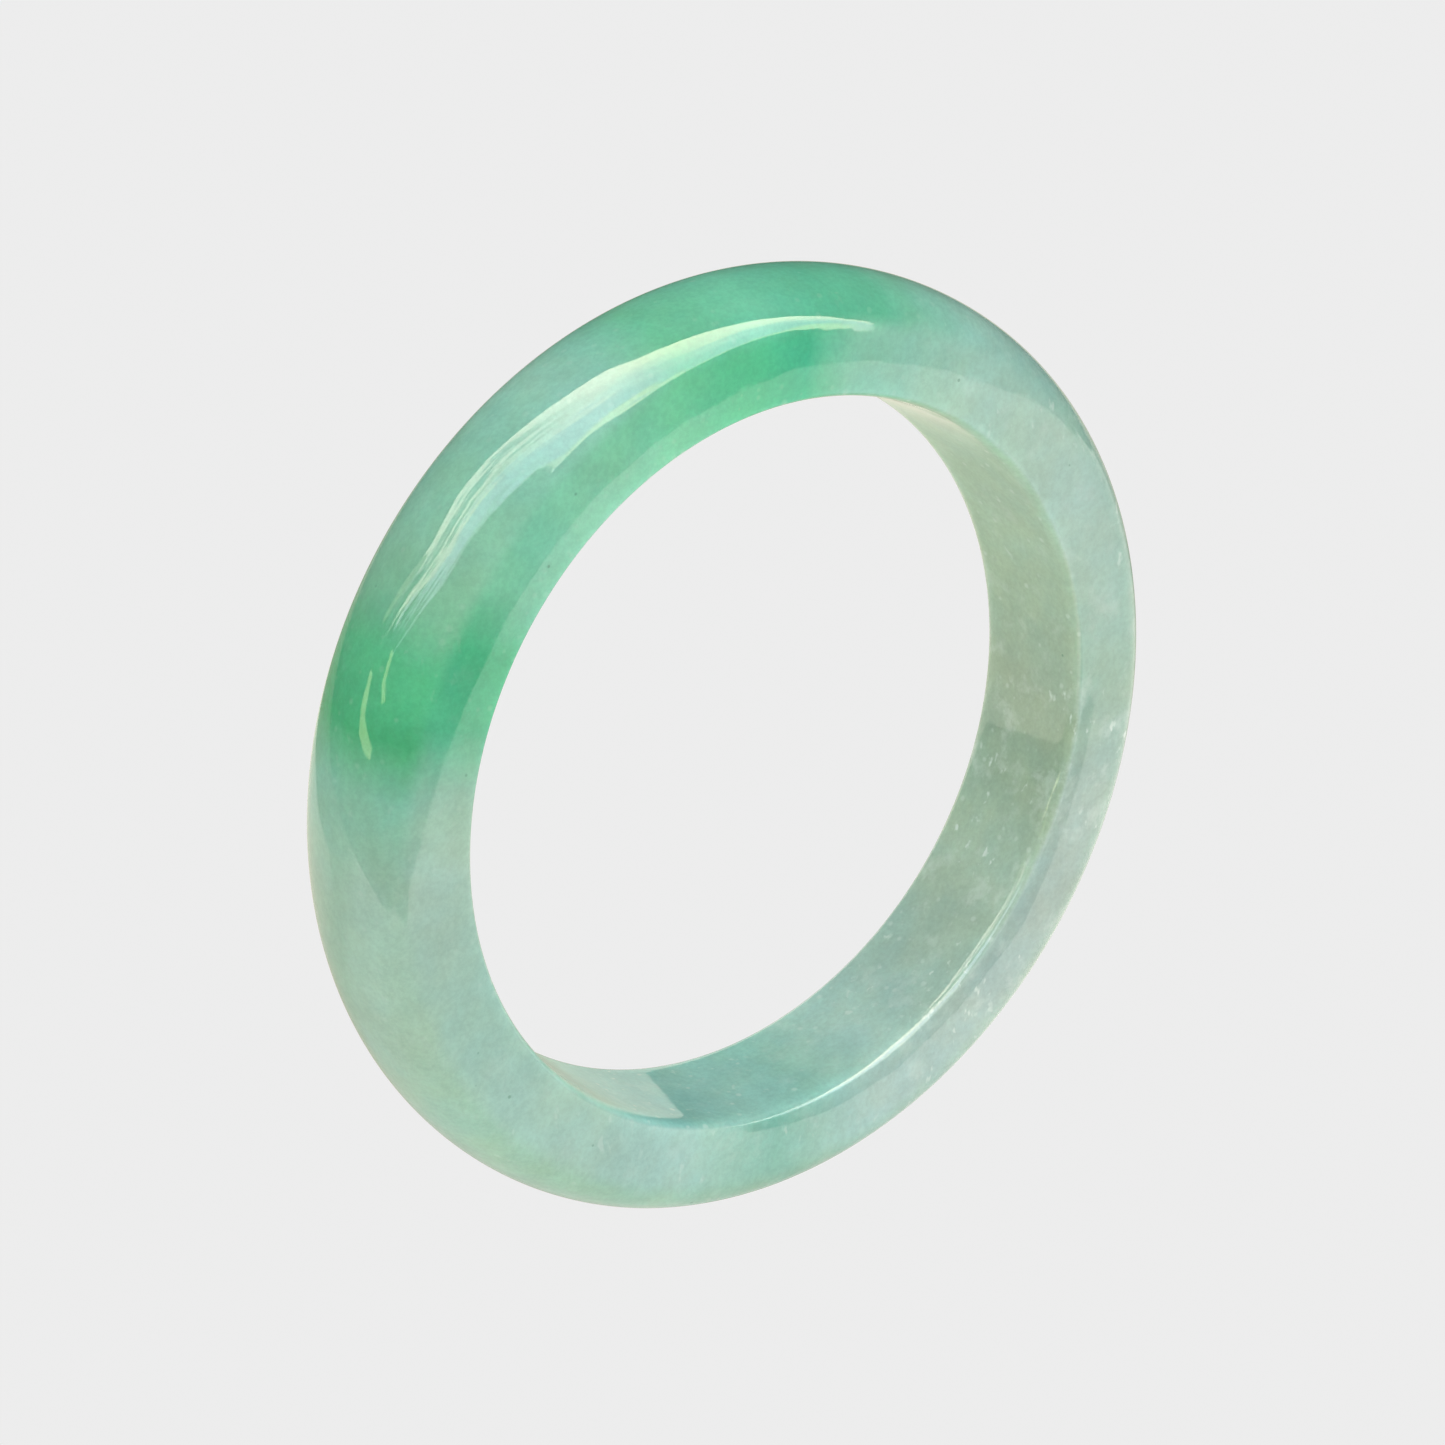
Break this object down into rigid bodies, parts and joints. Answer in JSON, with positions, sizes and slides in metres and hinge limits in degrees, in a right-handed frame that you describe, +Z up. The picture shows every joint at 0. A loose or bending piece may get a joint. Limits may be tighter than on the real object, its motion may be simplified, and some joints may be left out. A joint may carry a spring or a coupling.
{
  "type": "bangle bracelet",
  "caption": "One-piece polished green stone bangle: a closed round hoop with a domed outside and a flat inner wall, slipped over the hand and worn round the wrist.",
  "frame": {"origin": "centre of the wrist opening, half way across the band", "axes": "+Y along the wrist opening's axis, +Z up with the hoop standing on edge, +X to the right seen from -Y; the hoop is the same all the way round, so X and Z are free to turn about Y"},
  "size_m": [0.0744, 0.0114, 0.0744],
  "materials": {
    "jade": "polished"
  },
  "bodies": {
    "root": {"bangle": "jade"}
  },
  "joints": []
}
